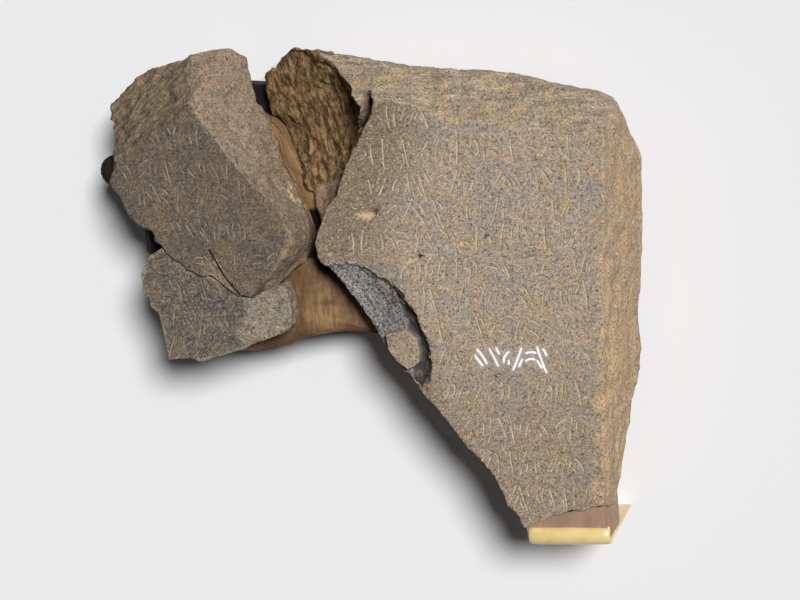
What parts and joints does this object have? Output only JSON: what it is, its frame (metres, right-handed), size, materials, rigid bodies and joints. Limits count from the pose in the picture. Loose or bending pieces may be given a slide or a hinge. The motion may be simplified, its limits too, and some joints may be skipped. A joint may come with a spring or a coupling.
{
  "type": "inscribed stone stele",
  "caption": "Broken basalt stele: joined inscribed fragments on a shaped backing, the foot made good with a block in a small painted wall bracket, lying on its back.",
  "frame": {"origin": "middle of the footprint, in the plane of the wall behind the stele, which is also the surface that it lies on", "axes": "the stele lies on its back: +X is its right and runs along the lines of writing, +Y is its top, +Z points out of the inscribed face"},
  "size_m": [0.3744, 0.3426, 0.0818],
  "materials": {
    "large_stone": "matte weathered basalt, grey-brown with ochre patches",
    "upper_stone": "matte dark weathered basalt",
    "lower_stone": "matte dark speckled basalt",
    "backing": "smooth ochre-brown toned filler, brushed",
    "foot_fill": "smooth mauve-brown toned filler",
    "bracket_paint": "semi-gloss cream-yellow paint"
  },
  "bodies": {
    "root": {"large_fragment": "large_stone", "upper_left_fragment": "upper_stone", "lower_left_fragment": "lower_stone", "backing": "backing", "foot_block": "foot_fill", "wall_bracket": "bracket_paint"}
  },
  "joints": []
}
